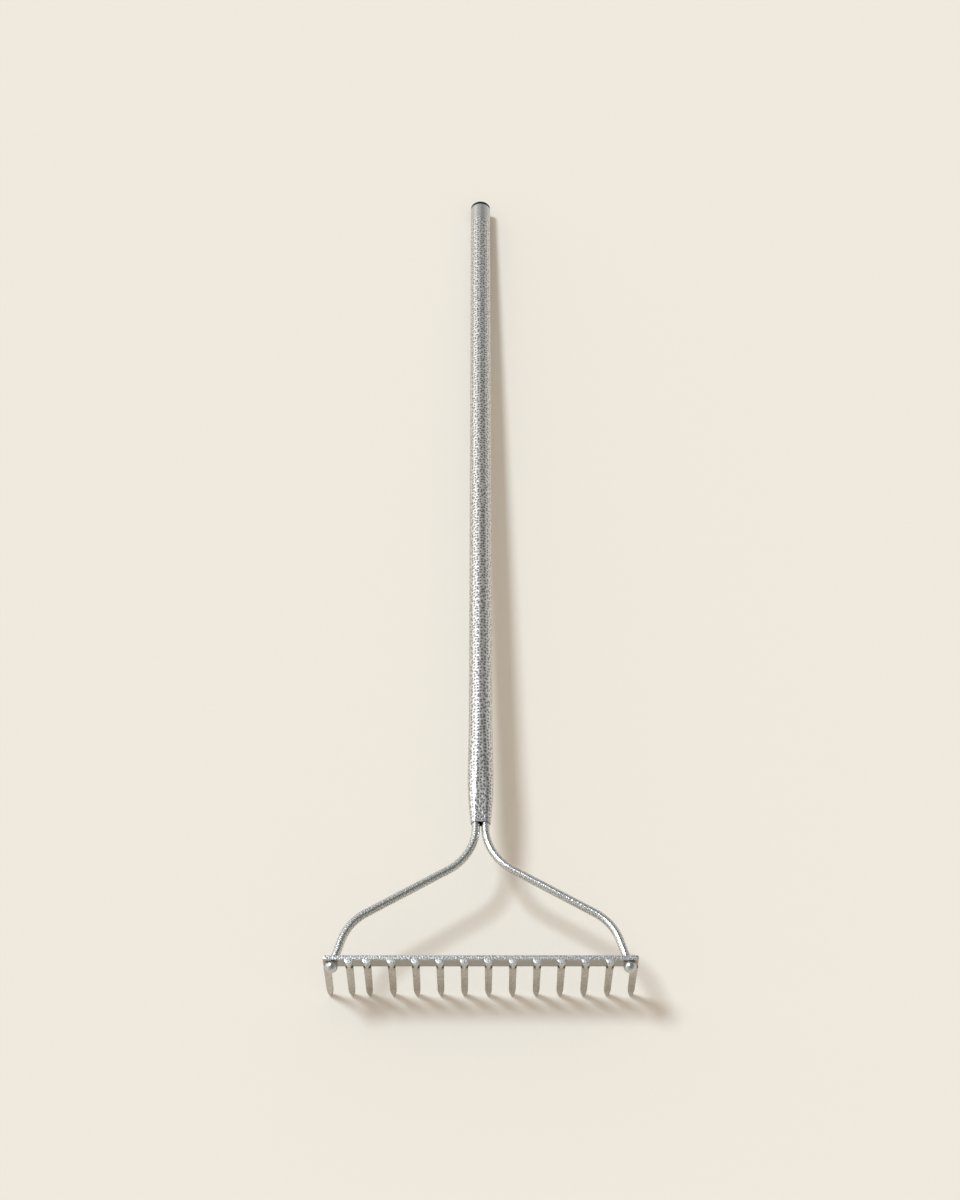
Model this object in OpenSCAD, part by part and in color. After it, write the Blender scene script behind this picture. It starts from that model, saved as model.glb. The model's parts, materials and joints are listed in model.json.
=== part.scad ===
// Bow rake: a steel tube handle crimped over two round bow rods, which carry
// a flat bar with riveted tines. It lies as it rests on a floor, on its tine
// tips and on the far end of the handle.
//
// The pieces are drawn in the rake's own frame: the middle of the bar is the
// origin, the handle runs along +Y, the tines point along -Z. The module
// resting() then tips the whole rake onto the floor at z = 0.

/* [Handle] */
// Outside diameter of the handle tube
handle_d = 31.75; // [26:0.25:38]
// Wall of the handle tube
handle_wall = 1.5; // [1:0.1:2.5]
// Length of the handle tube, from its crimped mouth to its far end
handle_len = 1157; // [700:1:1600]

/* [Crimp] */
// Length over which the tube is squeezed from round to flat
crimp_len = 160; // [120:5:220]
// Distance from the mouth to the widest place of the crimp
swell_dist = 68; // [50:1:90]
// How much wider than the round tube the crimp is there
swell_extra = 2; // [0.5:0.1:4]
// Clearance all round between the mouth and the rods in it
crimp_fit = 0.25; // [0.1:0.05:0.5]

/* [End plug] */
// Diameter of the plug's cap
plug_d = 31; // [24:0.25:31]
// Thickness of the plug's cap
plug_cap = 6.5; // [3:0.25:8]
// Radius of the cap's rounded outer edge
plug_edge_r = 2; // [1:0.25:2.75]
// Length of the plug's skirt inside the tube
plug_depth = 24; // [15:1:40]
// Wall of the skirt
plug_wall = 2; // [1.2:0.1:3]
// Gap between the skirt and the tube's bore
plug_gap = 0.6; // [0.3:0.1:1]
// Gap between the skirt's gripping rings and the tube's bore
plug_ring_gap = 0.05; // [0.02:0.01:0.15]
// Height of each gripping ring along the skirt
plug_ring = 1.6; // [1:0.1:2.5]

/* [Bow] */
// Diameter of the bow rods
rod_d = 10.5; // [8:0.25:12]
// Gap between the two rods inside the tube
rod_gap = 1.8; // [0.4:0.1:2.5]
// Distance from the middle of the bar to the mouth of the tube
bow_len = 193; // [170:1:240]
// Length of straight rod that shows between the mouth and the first bend
bow_start = 5.5; // [2:0.5:10]
// Length of straight rod held inside the tube
tang_len = 110; // [60:5:150]
// Radius of the bend where each rod leaves the tube
root_bend_r = 72; // [50:1:90]
// Radius of the bend at the shoulder of the bow
shoulder_bend_r = 66; // [40:1:80]
// Distance from the middle of the bar to the end of the shoulder bend
foot_len = 28; // [20:1:40]
// Outward lean of the rod where it meets the bar
foot_lean = 17; // [5:0.5:22]
// Distance from the end of the bar to the middle of the rod's hole
rod_inset = 13; // [12:0.2:30]
// Diameter of the round head on the front end of each rod
knob_d = 16; // [13:0.25:18]
// Distance from the bar's front face to the middle of that head
knob_stand = 4.5; // [3:0.25:6]

/* [Bar] */
// Length of the bar
bar_len = 386; // [340:2:460]
// Thickness of the bar, front to back
bar_d = 6.35; // [5:0.05:8]
// Height of the bar
bar_h = 19.05; // [16:0.05:25]
// Radius of the upright corners at the bar's ends
bar_end_r = 2.6; // [1:0.1:3]
// Clearance all round between the rods and tenons and their holes
hole_fit = 0.1; // [0.05:0.05:0.3]

/* [Tines] */
// Number of tines
tine_count = 14; // [10:1:16]
// Spacing of the first two tines at the left end
first_space = 27.3; // [20:0.1:32]
// Spacing of the second and third tines at the left end
second_space = 22.1; // [18:0.1:32]
// Length of a tine below the bar
tine_len = 79; // [60:0.5:110]
// Width of a tine just below the bar
neck_w = 9.4; // [8:0.1:12]
// Width of a tine where its point begins
point_w = 8.6; // [6:0.1:10]
// Length of the point
point_len = 19; // [12:0.5:30]
// Radius of the very tip
tip_r = 1.7; // [1:0.1:2.5]
// Thickness of a tine below its root
blade_d = 5; // [4:0.1:6]
// Thickness of a tine at its tip
tip_d = 4; // [3:0.1:5]
// How far the tip stands forward of the middle of the bar
tip_forward = 3; // [0:0.25:8]
// Height of the thicker root below the bar
root_h = 6; // [4:0.5:10]
// How far the root stands out in front of the bar
root_stand = 2.2; // [1.5:0.1:3]

/* [Tine fixing] */
// Width of the boss at the top of the bar
boss_w = 11.6; // [9:0.1:14]
// Width of the boss at the bottom of the bar
boss_foot_w = 4.2; // [3:0.1:7]
// Diameter of the tenon that goes through the bar
tenon_d = 6; // [4:0.1:8]
// Diameter of the peened head behind the bar
peen_d = 10; // [8:0.25:12]
// Height of the peened head
peen_h = 2; // [1:0.1:3]
// Diameter of the peg that holds each end tine in the bar
peg_d = 3.6; // [3:0.1:4]
// Length of that peg inside the bar
peg_len = 6; // [4:0.5:9]

/* [Hidden] */
$fn = 96;

// Name of one tine's node: tine_01, tine_02 and so on from the left
function tine_name(i) = str("tine_", i < 10 ? "0" : "", i);

// Amount by which a cutting shape passes the surface that it cuts
cut = 1;

// Tube: the bore, and the places of the mouth, the crimp's end and the far end
bore_d = handle_d - 2 * handle_wall;
mouth_y = bow_len;
round_y = mouth_y + crimp_len;
grip_y = mouth_y + handle_len;

// Mouth: the two rods side by side, wrapped by the tube's wall
rod_x = (rod_d + rod_gap) / 2;
mouth_h = rod_d + 2 * (crimp_fit + handle_wall);
mouth_w = 2 * rod_x + mouth_h;
swell_w = handle_d + swell_extra;
crimp_steps = 16;
crimp_sides = 48;
// The crimp's skins run this far into the wall of the round tube, and lie this
// much inside that wall's two faces
crimp_lap = 1;
crimp_step = 0.05;

// Rod: the bow is flat, so its two bends and the straight between them are
// the tangent line of two circles. turn is that line's angle from the handle.
eye_x = bar_len / 2 - rod_inset;
foot_x = eye_x - foot_len * tan(foot_lean);
root_y = mouth_y - bow_start;
root_centre = [rod_x + root_bend_r, root_y];
shoulder_centre = [foot_x, foot_len] - shoulder_bend_r * [cos(foot_lean), sin(foot_lean)];
centres = shoulder_centre - root_centre;
turn = atan2(centres.x, -centres.y) + asin((root_bend_r + shoulder_bend_r) / norm(centres));
diagonal_len = sqrt(pow(norm(centres), 2) - pow(root_bend_r + shoulder_bend_r, 2));
diagonal_start = root_centre - root_bend_r * [cos(turn), sin(turn)];
diagonal_end = shoulder_centre + shoulder_bend_r * [cos(turn), sin(turn)];
knob_out = (bar_d / 2 + knob_stand) / cos(foot_lean);

// Joints between the rod's straights and bends: the gap that is left between
// them, and the collar over it
joint_gap = 0.1;
joint_step = 0.05;
joint_len = 1;
joints = [
    [rod_x, root_y, 0],
    [diagonal_start.x, diagonal_start.y, turn],
    [diagonal_end.x, diagonal_end.y, turn],
    [foot_x, foot_len, foot_lean]];

// Tines: the outer two are flush with the bar's ends, and the third to the
// last are evenly spaced
end_tine_x = (bar_len - neck_w) / 2;
third_tine_x = first_space + second_space - end_tine_x;
tine_space = (end_tine_x - third_tine_x) / (tine_count - 3);
function tine_x(i) =
    i == 1 ? -end_tine_x :
    i == 2 ? first_space - end_tine_x :
    third_tine_x + (i - 3) * tine_space;

// Point: a large arc on each side runs smoothly from the straight edge into
// the tip's small arc, where it has turned by point_turn
tip_centre = point_len - tip_r;
point_arc_r = (pow(tip_centre, 2) + pow(point_w / 2, 2) - pow(tip_r, 2)) / (point_w - 2 * tip_r);
point_turn = atan(tip_centre / (point_arc_r - point_w / 2));
point_steps = 8;
tip_steps = 6;

// Rest: the tips' back edges and the tube's lower edge at its far end touch
// the floor together
tine_drop = bar_h / 2 + tine_len;
tip_back_y = tip_d / 2 - tip_forward;
rest_tilt = atan((tine_drop - handle_d / 2) / (grip_y - tip_back_y));
rest_z = grip_y * sin(rest_tilt) + handle_d / 2 * cos(rest_tilt);
plug_end_y = grip_y + plug_cap - plug_edge_r;
rest_back = plug_end_y * cos(rest_tilt) + (plug_d / 2 - plug_edge_r) * sin(rest_tilt) + plug_edge_r;
rest_front = -(bar_d / 2 + knob_stand) * cos(rest_tilt) - knob_d / 2;

silver = [0.74, 0.75, 0.75];
dull_silver = [0.62, 0.60, 0.56];
black = [0.08, 0.08, 0.08];

// Tips the rake onto the floor and centres its outline on the origin
module resting() {
    translate([0, -(rest_front + rest_back) / 2, rest_z])
        rotate([-rest_tilt, 0, 0])
            children();
}

// Cylinder along +Y from y0 to y1
module bar_y(d, y0, y1) {
    translate([0, y0, 0]) rotate([-90, 0, 0]) cylinder(d = d, h = y1 - y0);
}

// Width and height of the crimped tube at distance m from the mouth
function crimp_w(m) = m < swell_dist
    ? mouth_w + (swell_w - mouth_w) * sin(90 * m / swell_dist)
    : handle_d + swell_extra * (1 + cos(180 * (m - swell_dist) / (crimp_len - swell_dist))) / 2;
function crimp_h(m) = mouth_h + (handle_d - mouth_h) * sin(90 * m / crimp_len);

// One ring of the crimp: two half circles joined by flats, set in by inset
function crimp_ring(m, inset) = let (
        r = crimp_h(m) / 2,
        flat = max(0, (crimp_w(m) - crimp_h(m)) / 2))
    [for (i = [0 : crimp_sides - 1]) let (a = 360 * i / crimp_sides)
        [sign(round(cos(a) * 1000)) * flat + (r - inset) * cos(a),
         mouth_y + m,
         (r - inset) * sin(a)]];

// Crimped stretch of the tube: an outer and an inner skin joined at both ends
module crimp() {
    n = crimp_sides;
    skin = (crimp_steps + 1) * n;
    rings = [for (inset = [crimp_step, handle_wall - crimp_step]) for (k = [0 : crimp_steps])
        crimp_ring((crimp_len + crimp_lap) * k / crimp_steps, inset)];
    points = [for (ring = rings) for (p = ring) p];
    outer = [for (k = [0 : crimp_steps - 1]) for (i = [0 : n - 1]) let (j = (i + 1) % n)
        each [[k * n + i, (k + 1) * n + j, (k + 1) * n + i], [k * n + i, k * n + j, (k + 1) * n + j]]];
    inner = [for (face = outer) [face[2] + skin, face[1] + skin, face[0] + skin]];
    last = crimp_steps * n;
    ends = [for (i = [0 : n - 1]) let (j = (i + 1) % n) each [
        [i, skin + j, j], [i, skin + i, skin + j],
        [last + j, skin + last + i, last + i], [last + j, skin + last + j, skin + last + i]]];
    polyhedron(points, concat(outer, inner, ends));
}

// Handle tube: round from the far end to the crimp, then squeezed flat
module handle_tube() {
    color(silver) resting() {
        difference() {
            bar_y(handle_d, round_y, grip_y);
            bar_y(bore_d, round_y - cut, grip_y + cut);
        }
        crimp();
    }
}

// End plug: a cap with a rounded edge on a hollow skirt with gripping rings
module end_plug() {
    skirt_r = bore_d / 2 - plug_gap;
    ring_r = bore_d / 2 - plug_ring_gap;
    color(black) resting() translate([0, grip_y, 0]) rotate([-90, 0, 0]) {
        rotate_extrude() {
            square([plug_d / 2 - plug_edge_r, plug_cap]);
            square([plug_d / 2, plug_cap - plug_edge_r]);
            translate([plug_d / 2 - plug_edge_r, plug_cap - plug_edge_r]) circle(plug_edge_r);
        }
        rotate_extrude() {
            translate([skirt_r - plug_wall, -plug_depth]) square([plug_wall, plug_depth]);
            for (z = [0.25, 0.5, 0.75] * plug_depth)
                translate([skirt_r - plug_wall, -z - plug_ring / 2])
                    square([ring_r - skirt_r + plug_wall, plug_ring]);
        }
    }
}

// Bow rod on the right: straight in the tube, bent out, straight, bent back,
// through the bar, and headed in front of it. The straight lengths stop just
// short of the bends, and a very shallow collar at each joint makes them one solid.
module bow_rod() {
    translate([rod_x, 0, 0]) bar_y(rod_d, root_y + joint_gap, mouth_y + tang_len);
    translate(root_centre) rotate(180) rotate_extrude(angle = turn)
        translate([root_bend_r, 0]) circle(d = rod_d);
    translate(diagonal_start) rotate(turn)
        bar_y(rod_d, joint_gap - diagonal_len, -joint_gap);
    translate(shoulder_centre) rotate(foot_lean) rotate_extrude(angle = turn - foot_lean)
        translate([shoulder_bend_r, 0]) circle(d = rod_d);
    translate([eye_x, 0, 0]) rotate(foot_lean)
        bar_y(rod_d, -knob_out, foot_len / cos(foot_lean) - joint_gap);
    for (joint = joints)
        translate([joint.x, joint.y, 0]) rotate(joint.z)
            bar_y(rod_d + 2 * joint_step, -joint_len / 2, joint_len / 2);
    intersection() {
        translate([eye_x, 0, 0]) rotate(foot_lean) translate([0, -knob_out, 0]) sphere(d = knob_d);
        translate([eye_x - knob_d, -bar_d / 2 - 2 * knob_d, -knob_d])
            cube([2 * knob_d, 2 * knob_d, 2 * knob_d]);
    }
}

module bow_rod_right() {
    color(silver) resting() bow_rod();
}

module bow_rod_left() {
    color(silver) resting() mirror([1, 0, 0]) bow_rod();
}

// Bar: a flat with rounded upright corners, drilled for rods, tenons and pegs
module head_bar() {
    corner = [bar_len / 2 - bar_end_r, bar_d / 2 - bar_end_r];
    color(silver) resting() difference() {
        translate([0, 0, -bar_h / 2]) linear_extrude(bar_h) {
            square([bar_len, bar_d - 2 * bar_end_r], center = true);
            square([bar_len - 2 * bar_end_r, bar_d], center = true);
            for (sx = [-1, 1], sy = [-1, 1])
                translate([sx * corner.x, sy * corner.y]) circle(bar_end_r);
        }
        for (side = [0, 1]) mirror([side, 0, 0]) {
            translate([eye_x, 0, 0]) rotate(foot_lean)
                bar_y(rod_d + 2 * hole_fit, -bar_d - rod_d, bar_d + rod_d);
            translate([end_tine_x, 0, -bar_h / 2 - cut])
                cylinder(d = peg_d + 2 * hole_fit, h = peg_len + cut + hole_fit);
        }
        for (i = [2 : tine_count - 1]) translate([tine_x(i), 0, 0])
            bar_y(tenon_d + 2 * hole_fit, -bar_d / 2 - cut, bar_d / 2 + cut);
    }
}

// Front outline of a tine below the bar: tapered sides and an arched point.
// edge is its right side, from the top to just before the tip.
module tine_outline() {
    arc = [for (i = [0 : point_steps]) let (a = point_turn * i / point_steps)
        [point_w / 2 - point_arc_r * (1 - cos(a)), -point_arc_r * sin(a)]];
    tip = [for (i = [1 : tip_steps - 1]) let (a = point_turn + (90 - point_turn) * i / tip_steps)
        [tip_r * cos(a), -tip_centre - tip_r * sin(a)]];
    edge = [[neck_w / 2, 0], for (p = concat(arc, tip)) p - [0, tine_len - point_len]];
    left = [for (i = [len(edge) - 1 : -1 : 0]) [-edge[i].x, edge[i].y]];
    polygon(concat(edge, [[0, -tine_len]], left));
}

// The end of the line from p to q, drawn on past q
function past(p, q) = q + cut * (q - p) / norm(q - p);

// Side outline of a tine: a thick root, then a slow taper to beyond the tip
module tine_side() {
    front = [-blade_d / 2 - root_stand / 2, -root_h];
    back = [blade_d / 2, -root_h];
    polygon([
        [-bar_d / 2 - root_stand, 0],
        [bar_d / 2, 0],
        back,
        past(back, [tip_back_y, -tine_len]),
        past(front, [tip_back_y - tip_d, -tine_len]),
        front]);
}

module tine_blade() {
    translate([0, 0, -bar_h / 2]) intersection() {
        rotate([90, 0, 0]) linear_extrude(3 * bar_h, center = true) tine_outline();
        rotate([90, 0, 90]) linear_extrude(2 * neck_w, center = true) tine_side();
    }
}

// Boss: half a cone on the bar's front face, wide at the top of the bar
module tine_boss() {
    intersection() {
        translate([0, -bar_d / 2, -bar_h / 2 - root_h / 2])
            cylinder(d1 = boss_foot_w, d2 = boss_w, h = bar_h + root_h / 2);
        translate([-boss_w, -bar_d / 2 - boss_w, -bar_h]) cube([2 * boss_w, boss_w, 2 * bar_h]);
    }
}

// Tenon through the bar, peened over behind it into a low dome
module tine_tenon() {
    dome_r = (pow(peen_d / 2, 2) + pow(peen_h, 2)) / (2 * peen_h);
    bar_y(tenon_d, -bar_d / 2 - root_stand / 2, bar_d / 2 + peen_h / 2);
    intersection() {
        translate([0, bar_d / 2 + peen_h - dome_r, 0]) sphere(dome_r);
        bar_y(peen_d + cut, bar_d / 2, bar_d / 2 + peen_h + cut);
    }
}

// Tine number i from the left; the two end tines are pegged into the bar
module tine(i) {
    color(dull_silver) resting() translate([tine_x(i), 0, 0]) {
        tine_blade();
        if (i == 1 || i == tine_count) {
            translate([0, 0, -bar_h / 2 - root_h / 2]) cylinder(d = peg_d, h = peg_len + root_h / 2);
        } else {
            tine_boss();
            tine_tenon();
        }
    }
}

handle_tube();
end_plug();
bow_rod_left();
bow_rod_right();
head_bar();
for (i = [1 : tine_count]) tine(i);
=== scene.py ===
import json
import math

import bmesh
import bpy
from bpy.props import FloatProperty, FloatVectorProperty, IntProperty, PointerProperty
from mathutils import Matrix, Vector


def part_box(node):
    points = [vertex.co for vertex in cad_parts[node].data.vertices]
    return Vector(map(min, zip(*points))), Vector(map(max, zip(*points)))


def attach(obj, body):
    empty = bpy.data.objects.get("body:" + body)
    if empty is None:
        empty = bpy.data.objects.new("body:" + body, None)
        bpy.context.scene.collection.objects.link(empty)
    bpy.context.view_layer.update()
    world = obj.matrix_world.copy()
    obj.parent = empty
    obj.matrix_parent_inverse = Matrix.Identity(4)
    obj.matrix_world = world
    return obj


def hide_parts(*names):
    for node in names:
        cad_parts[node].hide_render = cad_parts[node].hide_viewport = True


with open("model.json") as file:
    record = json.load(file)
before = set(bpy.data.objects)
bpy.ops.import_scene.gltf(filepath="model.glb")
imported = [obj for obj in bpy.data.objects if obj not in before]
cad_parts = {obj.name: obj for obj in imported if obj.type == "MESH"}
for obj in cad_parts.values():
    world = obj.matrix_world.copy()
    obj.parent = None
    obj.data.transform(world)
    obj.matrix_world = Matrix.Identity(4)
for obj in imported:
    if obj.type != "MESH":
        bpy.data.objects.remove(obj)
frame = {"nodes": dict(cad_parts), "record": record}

bl_info = {
    "name": "Bow Rake",
    "version": (1, 0, 0),
    "blender": (4, 5, 0),
    "location": "View3D > Sidebar > Rake",
    "description": "Dresses the frame of a bow rake in hammered and forged steel",
    "category": "Add Mesh",
}

MM = 0.001
# How unevenly the hammer struck, and half the distance between two dimples
# that lie corner to corner, in dimples
JITTER = 0.6
CORNER = 0.75
# The heights in a dimple where the painted shade in its middle is full and
# where it ends, from -1 in its middle to 0 on its ridges
DIMPLE_SHADE_FULL, DIMPLE_SHADE_END = -0.95, -0.75
# Nearly all the values of a noise lie between these
NOISE_LOW, NOISE_HIGH = 0.3, 0.7
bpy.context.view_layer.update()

# The rake is drawn in its own frame, where the middle of the bar is the
# origin, the handle runs along +Y and the tines point along -Z. The handle's
# grip and the bar say where that frame lies in the room.
GRIP = next(mount for mount in frame["record"]["mounts"] if mount["name"] == "grip")
TILT = math.asin(-GRIP["axis"][2])
BAR_LOW, BAR_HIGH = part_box("head_bar")
BAR_MIDDLE = (BAR_LOW + BAR_HIGH) / 2
TO_ROOM = Matrix.Translation(BAR_MIDDLE) @ Matrix.Rotation(-TILT, 4, "X")
GRIP_MIDDLE = (TO_ROOM.inverted() @ Vector(GRIP["pos_m"])).y
GRIP_HALF = GRIP["dims"]["length_mm"] * MM / 2
HANDLE_R = GRIP["dims"]["r_mm"] * MM
ROUND_Y = GRIP_MIDDLE - GRIP_HALF
FAR_Y = GRIP_MIDDLE + GRIP_HALF
TINE_NODES = sorted(name for name in frame["nodes"] if name.startswith("tine_"))


def length(name, about, default):
    """A size in metres that a user can change"""
    return FloatProperty(name=name, description=about, default=default, min=0, unit="LENGTH")


def angle(name, about, degrees):
    """An angle that a user can change"""
    return FloatProperty(
        name=name, description=about, default=math.radians(degrees), unit="ROTATION")


def ratio(name, about, default, top=1):
    """A plain number that a user can change"""
    return FloatProperty(name=name, description=about, default=default, min=0, max=top)


def colour(name, about, code):
    """A colour that a user can change, given as sRGB hex"""
    return FloatVectorProperty(
        name=name, description=about, default=linear(code), size=4, min=0, max=1, subtype="COLOR")


def linear(code):
    """The linear RGBA of an sRGB hex colour"""
    parts = [int(code[i:i + 2], 16) / 255 for i in (1, 3, 5)]
    return (*[c / 12.92 if c <= 0.04045 else ((c + 0.055) / 1.055) ** 2.4 for c in parts], 1)


def shade(tint, share):
    """A linear colour made darker or lighter by a share"""
    return (*[min(1, c * share) for c in tint[:3]], 1)


# Settings


class RakeHandleSettings(bpy.types.PropertyGroup):
    """Sizes of the handle tube and its plug"""
    wall: length("Wall", "Wall of the tube", 1.5 * MM)
    crimp: length("Crimp", "Length over which the tube is squeezed flat", 160 * MM)
    swell_at: length("Swell at", "Distance from the mouth to the crimp's widest place", 68 * MM)
    swell: length("Swell", "How much wider than the tube the crimp is there", 2 * MM)
    fit: length("Fit", "Clearance between the mouth and the rods", 0.25 * MM)
    lip: length("Lip", "Radius of the rounded edges of the tube's ends", 0.5 * MM)
    plain: length("Plain end", "Length at the far end that isn't hammered", 30 * MM)
    plug_r: length("Plug radius", "Radius of the plug's cap", 15.5 * MM)
    plug_cap: length("Plug cap", "Thickness of the plug's cap", 6.5 * MM)
    plug_edge: length("Plug edge", "Radius of the cap's rounded edge", 2 * MM)
    plug_depth: length("Plug depth", "Length of the plug's skirt in the tube", 24 * MM)


class RakeBowSettings(bpy.types.PropertyGroup):
    """Sizes of the two bow rods"""
    rod_r: length("Rod radius", "Radius of the rods", 5.25 * MM)
    gap: length("Gap", "Gap between the two rods in the tube", 1.8 * MM)
    start: length("Start", "Straight rod between the mouth and the first bend", 5.5 * MM)
    tang: length("Tang", "Straight rod held in the tube", 110 * MM)
    root_bend: length("Root bend", "Radius of the first bend", 72 * MM)
    shoulder_bend: length("Shoulder bend", "Radius of the shoulder bend", 66 * MM)
    foot: length("Foot", "Distance from the bar's middle to the end of the shoulder bend", 28 * MM)
    lean: angle("Lean", "Outward lean of the rod where it meets the bar", 17)
    inset: length("Inset", "Distance from the bar's end to the rod's hole", 13 * MM)
    knob_r: length("Knob radius", "Radius of the round head in front of the bar", 8 * MM)
    knob_stand: length("Knob stand", "Distance from the bar's front to the head's middle", 4.5 * MM)


class RakeBarSettings(bpy.types.PropertyGroup):
    """Sizes of the flat bar"""
    depth: length("Depth", "Thickness of the bar, front to back", 6.35 * MM)
    height: length("Height", "Height of the bar", 19.05 * MM)
    end_r: length("End radius", "Radius of the upright corners at the ends", 2.6 * MM)
    edge_r: length("Edge radius", "Radius of the bar's long edges", 0.9 * MM)


class RakeTineSettings(bpy.types.PropertyGroup):
    """Sizes of a tine"""
    reach: length("Reach", "Length of a tine below the bar", 79 * MM)
    neck_w: length("Neck width", "Width just below the bar", 9.4 * MM)
    point_w: length("Point width", "Width where the point begins", 8.6 * MM)
    point: length("Point", "Length of the point", 19 * MM)
    tip_r: length("Tip radius", "Radius of the very tip", 1.7 * MM)
    blade_d: length("Blade depth", "Thickness below the root", 5 * MM)
    tip_d: length("Tip depth", "Thickness at the tip", 4 * MM)
    tip_forward: length("Tip forward", "How far the tip stands forward of the bar's middle", 3 * MM)
    root: length("Root", "Height of the thicker root", 6 * MM)
    root_stand: length("Root stand", "How far the root stands out in front of the bar", 2.2 * MM)
    edge_r: length("Edge radius", "Radius of the long edges", 0.8 * MM)
    boss_r: length("Boss radius", "Radius of the boss at the top of the bar", 5.8 * MM)
    boss_foot_r: length("Boss foot radius", "Radius of the boss at its lower end", 2.1 * MM)
    peen_r: length("Peen radius", "Radius of the peened head behind the bar", 5 * MM)
    peen_h: length("Peen height", "Height of the peened head", 2 * MM)
    turn: angle("Turn", "How far a tine may be turned by hand fitting", 1.5)
    seed: IntProperty(name="Seed", description="Seed of the tines' small turns", default=4, min=0)


class RakeFinishSettings(bpy.types.PropertyGroup):
    """Hammer marks and colours"""
    tube_rows: IntProperty(
        name="Rows round the tube", description="Dimples in a ring round the tube",
        default=21, min=3)
    rod_rows: IntProperty(
        name="Rows round a rod", description="Dimples in a ring round a rod", default=13, min=3)
    bar_pitch: length("Bar dimples", "Spacing of the dimples on bar and bosses", 2.8 * MM)
    tube_dimple: length("Tube dimple depth", "Depth of a dimple on the tube", 0.14 * MM)
    rod_dimple: length("Rod dimple depth", "Depth of a dimple on rods, bar and bosses", 0.09 * MM)
    tube_rough: ratio("Tube roughness", "Roughness of the tube where it is smoothest", 0.17)
    rod_rough: ratio("Rod roughness", "Roughness of the rods where they are smoothest", 0.2)
    bar_rough: ratio("Bar roughness", "Roughness of the bar where it is smoothest", 0.3)
    boss_rough: ratio("Boss roughness", "Roughness of the bosses where they are smoothest", 0.28)
    tine_rough: ratio("Tine roughness", "Roughness of the tines where they are smoothest", 0.28)
    steel: colour("Bright steel", "Hammered steel's reflected colour", "#DAD9D5")
    # Painted shade: the dark colour painted into the middle of each dimple
    dimple_shade: colour("Pits", "Colour of the grime in the middle of each dimple", "#7A7873")
    # The bar's front and back are given a darker colour than its hammered top
    bar_front_back: colour("Rolled steel", "Colour of the bar's front and back", "#B3AFA8")
    forged: colour("Forged steel", "Colour of the tines", "#CAC5BC")
    plastic: colour("Plug", "Colour of the plug", "#100E0C")


class RakeStageSettings(bpy.types.PropertyGroup):
    """Floor, light and camera"""
    floor: colour("Floor", "Colour of the floor", "#EEE8DC")
    floor_size: length("Floor size", "Width of the floor", 24)
    key: colour("Key colour", "Colour of the key light", "#E6F3FF")
    key_strength: ratio("Key", "Strength of the key light", 1.95, 10)
    key_angle: angle("Key size", "How large the key light looks", 15)
    fill: colour("Fill colour", "Colour of the room's soft fill light", "#FFF3E8")
    fill_strength: ratio("Fill", "Strength of the room's soft fill light", 0.578, 10)
    overhead: ratio("Overhead", "Brightness of the room overhead, seen in the steel", 0.25, 10)
    walls: ratio("Walls", "Brightness of the room near the floor, seen in the steel", 0.66, 10)
    glow: ratio("Glow", "Brightness of the left of the room, seen in the steel", 0.24, 10)
    window: ratio("Window", "Brightness of the window at the left, seen in the steel", 0.75, 10)
    camera_side: FloatProperty(
        name="Camera side", description="Sideways place of the camera", default=-0.8 * MM,
        unit="LENGTH")
    camera_aim: length("Aim", "Distance from the bar to where the camera aims", 552.4 * MM)
    camera_distance: length("Distance", "Distance from there to the camera", 2729 * MM)
    camera_angle: angle("Camera angle", "Angle between the view and the handle", 53)
    lens: FloatProperty(name="Lens", description="Focal length in millimetres", default=58.8, min=1)


SETTINGS = {
    "rake_handle": RakeHandleSettings,
    "rake_bow": RakeBowSettings,
    "rake_bar": RakeBarSettings,
    "rake_tine": RakeTineSettings,
    "rake_finish": RakeFinishSettings,
    "rake_stage": RakeStageSettings,
}


# Helpers


def add_node(tree, kind, inputs=None, **settings):
    """Adds a node, with its settings, and with its inputs set or linked"""
    node = tree.nodes.new(kind)
    for name, value in settings.items():
        setattr(node, name, value)
    for name, value in (inputs or {}).items():
        if isinstance(value, bpy.types.NodeSocket):
            tree.links.new(value, node.inputs[name])
        else:
            node.inputs[name].default_value = value
    return node


def steps(start, end, size):
    """Even steps from start to end, both included, no longer than size"""
    count = max(1, math.ceil(abs(end - start) / size))
    return [start + (end - start) * k / count for k in range(count + 1)]


def unroll(rings, rows):
    """Where each ring's points lie on the unrolled skin, counted in dimples, of
    which "rows" fit round the middle ring. The last place closes the ring."""
    rounds = []
    for ring in rings:
        legs = [(ring[(i + 1) % len(ring)] - ring[i]).length for i in range(len(ring))]
        rounds.append([sum(legs[:i]) for i in range(len(ring) + 1)])
    pitch = rounds[len(rings) // 2][-1] / rows
    run, places = 0.0, []
    for k, ring in enumerate(rings):
        top = len(ring) // 2
        run += (ring[top] - rings[k - 1][top]).length if k else 0.0
        places.append([(rows * part / rounds[k][-1], run / pitch) for part in rounds[k]])
    return places


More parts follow.
